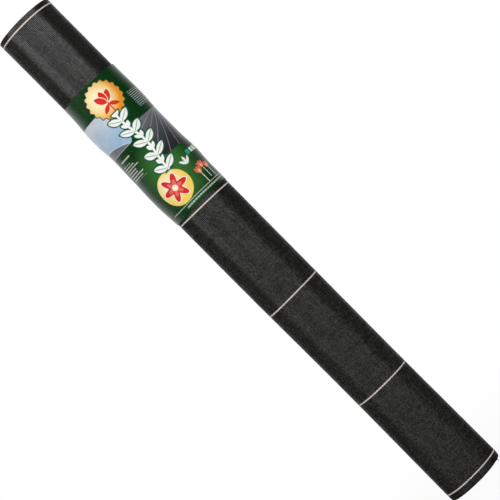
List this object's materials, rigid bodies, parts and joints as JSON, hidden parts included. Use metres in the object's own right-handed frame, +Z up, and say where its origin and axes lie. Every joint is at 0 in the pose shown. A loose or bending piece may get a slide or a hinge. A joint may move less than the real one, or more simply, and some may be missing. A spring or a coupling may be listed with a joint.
{
  "type": "roll of weed control fabric",
  "caption": "Upright roll of black woven weed control fabric on a cardboard tube, with pale guide lines and a printed film sleeve that slides along the roll.",
  "frame": {"origin": "middle of the lower end of the roll, on the surface that the roll stands on", "axes": "+Z up along the roll's axis, -Y the side that the sleeve's front faces, +Y the side with the fabric's free edge and the sleeve's lap"},
  "size_m": [0.1046, 0.1044, 1],
  "materials": {
    "core_cardboard": "matte",
    "tape": "satin",
    "woven_fabric": "matte",
    "guide_yarn": "satin",
    "printed_film": "gloss",
    "clear_tape": "gloss"
  },
  "bodies": {
    "roll": {"core_tube": "core_cardboard", "start_tape": "tape", "fabric_winding": "woven_fabric", "guide_line_1": "guide_yarn", "guide_line_2": "guide_yarn", "guide_line_3": "guide_yarn", "guide_line_4": "guide_yarn", "guide_line_5": "guide_yarn", "guide_line_6": "guide_yarn", "tail_tape_lower": "tape", "tail_tape_middle": "tape"},
    "sleeve": {"label_sleeve": "printed_film", "sleeve_seam_tape": "clear_tape"}
  },
  "joints": [
    {"name": "sleeve_slide", "type": "slide", "parent": "roll", "child": "sleeve", "axis": [0, 0, 1], "range_m": [-0.6, 0.4]}
  ]
}
